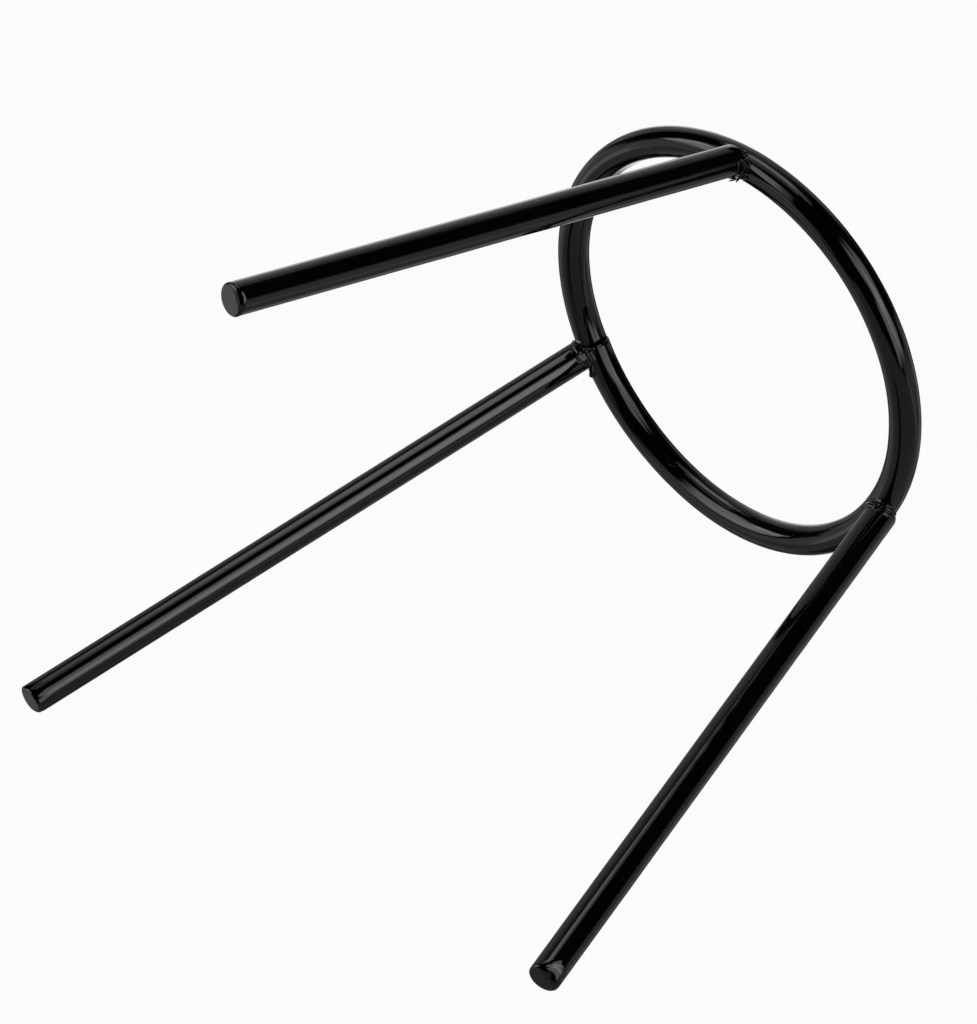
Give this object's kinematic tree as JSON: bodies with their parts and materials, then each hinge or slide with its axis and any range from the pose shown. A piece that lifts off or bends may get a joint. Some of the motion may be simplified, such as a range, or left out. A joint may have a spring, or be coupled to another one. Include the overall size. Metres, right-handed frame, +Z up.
{
  "type": "lab tripod stand",
  "caption": "Ring of black-painted round bar carried on splayed straight legs, which holds glassware over a burner.",
  "frame": {"origin": "on the floor, straight under the centre of the ring", "axes": "+Z up along the ring's axis, from the feet to the ring; the first leg points towards +Y"},
  "size_m": [0.1613, 0.1475, 0.15],
  "materials": {
    "black_paint": "thick black gloss dip paint over round steel bar",
    "painted_weld": "black gloss dip paint over rough weld metal"
  },
  "bodies": {
    "root": {"ring": "black_paint", "leg_1": "black_paint", "leg_2": "black_paint", "leg_3": "black_paint", "weld_1": "painted_weld", "weld_2": "painted_weld", "weld_3": "painted_weld"}
  },
  "joints": []
}
